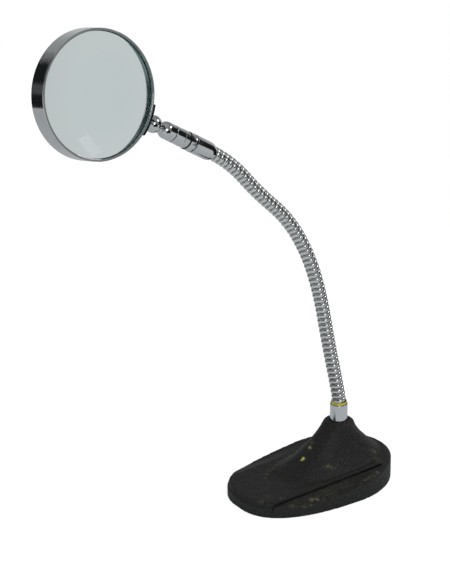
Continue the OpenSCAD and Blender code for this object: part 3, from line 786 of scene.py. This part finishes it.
# %% Turn the ball
hollow = arc(0, 6.75, degrees(atan2(6.62, 1.3)), degrees(atan2(5.2, 4.3)), 10)
round_part = arc(12.0, 6.45, -degrees(atan2(4.81, 4.3)), degrees(atan2(3.02, 5.7)), 32)
knob = lathe("rim_ball_knob", [(0, 12.4), (1.3, 12.4)] + hollow + round_part + [(5.7, 18.9), (0, 18.9)],
             on_stem, knob_chrome, closed=False, edge=0.1)
dress(knob, "head", "rim_ball")

# %% [markdown]
# ## Saddle
# The saddle is a strip of blackened steel, nearly as wide as the band and bent to its curve. It is drawn
# flat with round corners, cut across so that it can bend, given its thickness, and wrapped on the band.

# %% Bend the saddle
band_r, band_wall, band_w = 46.3, 1.1, 15.4
strip_half_len, strip_half_w, strip_thickness, corner_r, seam = 11.5, 7.4, 1.58, 1.0, 0.02
saddle = bmesh.new()
bmesh.ops.create_circle(saddle, cap_ends=True, segments=32, radius=corner_r)
bmesh.ops.rotate(saddle, verts=saddle.verts, matrix=Matrix.Rotation(pi / 32, 3, "Z"))
for vert in saddle.verts:
    vert.co.x += (strip_half_len - corner_r) * (1 if vert.co.x > 0 else -1)
    vert.co.y += (strip_half_w - corner_r) * (1 if vert.co.y > 0 else -1)
for k in range(-11, 12):
    bmesh.ops.bisect_plane(saddle, geom=saddle.verts[:] + saddle.edges[:] + saddle.faces[:], dist=1e-5,
                           plane_co=(k, 0, 0), plane_no=(1, 0, 0))
lifted = [g for g in bmesh.ops.extrude_face_region(saddle, geom=saddle.faces[:])["geom"]
          if isinstance(g, bmesh.types.BMVert)]
bmesh.ops.translate(saddle, verts=lifted, vec=(0, 0, strip_thickness))
bmesh.ops.recalc_face_normals(saddle, faces=saddle.faces)
rims = [e for e in saddle.edges if e.calc_face_angle() > radians(60)]
bmesh.ops.bevel(saddle, geom=rims, offset=0.25, segments=3, profile=0.5, affect="EDGES", material=-1)
for vert in saddle.verts:
    around, out = vert.co.x / band_r, band_r + seam + vert.co.z
    vert.co = (out * sin(around), -out * cos(around), vert.co.y)
saddle_piece = to_piece(saddle, "band_saddle", black_steel, on_lens)
dress(saddle_piece, "head", "rim_saddle")
print("saddle, faces:", len(saddle_piece.data.polygons))

# %% [markdown]
# Two rivets hold the saddle. They end flush with the inside of the band, and have low heads outside.

# %% Set the rivets
rivet_path = ((0, 45.22), (1.1, 45.22), (1.1, 47.95), (1.8, 47.95), (1.72, 48.2), (1.3, 48.42),
              (0.7, 48.53), (0, 48.56))
for side, angle in (("left", -10.5), ("right", 10.5)):
    rivet = lathe(f"saddle_rivet_{side}", rivet_path,
                  on_lens @ Matrix.Rotation(radians(angle), 4, "Z") @ Matrix.Rotation(radians(90), 4, "X"),
                  band_chrome, closed=False, steps=32, edge=0, sharp_angle=25)
    dress(rivet, "head", "saddle_rivets")

# %% [markdown]
# ## Band, ring and lens
# The band is rolled strip with a small lip turned in at the front, and a smaller one at the back. The
# lens rests against the front lip, and a ring springs in behind it. All three share the axis of the
# lens. Inside, the wall is duller, and its back corner beside the saddle is painted near black, a
# painted dark reflection.

# %% Turn the band
half, inner, lip = band_w / 2, band_r - band_wall, 0.6
corner_z = lip - half + 0.8
dark_reflection_start, dark_reflection_end = -22, 36
band = lathe("lens_band", (
    (inner, half - lip), (inner, corner_z), (inner, lip - half), (inner - 0.5, 0.4 - half),
    (inner - 0.5, -half), (band_r - 0.4, -half), (band_r, 0.5 - half), (band_r, half - 0.5),
    (band_r - 0.4, half), (inner - lip, half), (inner - lip, half - 0.4)),
    on_lens, band_chrome, steps=240, edge=0.1)
band.data.materials.append(inner_wall)
band.data.materials.append(oil_and_painted_reflection)
to_lens = on_lens.to_3x3().inverted()
for face in band.data.polygons:
    x, y, z = to_lens @ (face.center / MM - on_lens.translation)
    facing_in = (to_lens @ face.normal).dot(Vector((x, y, 0)).normalized()) < -0.5
    if facing_in and hypot(x, y) < inner + 0.05:
        # painted reflection: inner faces in the back corner beside the saddle get the near-black finish
        near_saddle = dark_reflection_start < degrees(atan2(x, -y)) < dark_reflection_end
        face.material_index = 2 if near_saddle and z < corner_z else 1
dress(band, "head", "lens_rim")

# %% Turn the ring behind the lens
lens_edge, play = 3.6, 0.25
front_edge = half - lip - play
back_edge = front_edge - lens_edge
seat = back_edge - play
ring = lathe("lens_retaining_ring", (
    (inner - 1.4, seat), (inner - 1.4, seat - 1.1), (inner - 1.2, seat - 1.3), (inner - 0.02, seat - 1.3),
    (inner - 0.02, seat)), on_lens, dark_ring, steps=240, edge=0.08)
dress(ring, "head", "retaining_ring")

# %% [markdown]
# The lens bulges by the same amount on both sides. Each face is part of a sphere, so the tool's path
# follows a circle across it. The narrow edge between the faces gets the ground glass.

# %% Grind the lens
edge_r, sag = inner - 0.3, 4.3
face_r = (edge_r ** 2 + sag ** 2) / (2 * sag)


def bulge(r):
    """How far a face of the lens stands out from its edge, at a distance r from the axis."""
    return sag - face_r + sqrt(face_r ** 2 - r ** 2)


radii = [edge_r * i / 32 for i in range(33)]
lens_path = [(r, front_edge + bulge(r)) for r in radii] + [(r, back_edge - bulge(r)) for r in reversed(radii)]
glass = lathe("magnifier_lens", lens_path, on_lens, polished_glass, closed=False, steps=192, edge=0)
glass.data.materials.append(ground_glass)
ground = 0
for face in glass.data.polygons:
    if abs(face.normal.dot(lens_axis)) < 0.5:
        face.material_index = 1
        ground += 1
dress(glass, "head", "lens")
print("lens thickness in mm:", round(lens_edge + 2 * sag, 2), " ground faces:", ground)

# %% [markdown]
# ## Solids that stay
# The fixing under the foot, and the ball and pad inside the cap, have the right shape already. They only
# need their metals.

# %% Finish the remaining solids
for name, finish in (("foot_plug", steel), ("foot_washer", steel), ("foot_nut", steel),
                     ("pressure_pad", brass), ("swivel_ball", steel), ("ball_stud", steel)):
    nodes[name].data.materials.clear()
    nodes[name].data.materials.append(finish)

# %% [markdown]
# ## Closing
# The colours are shown as they are, without a film curve.

# %% View settings
bpy.context.scene.view_settings.view_transform = "Standard"
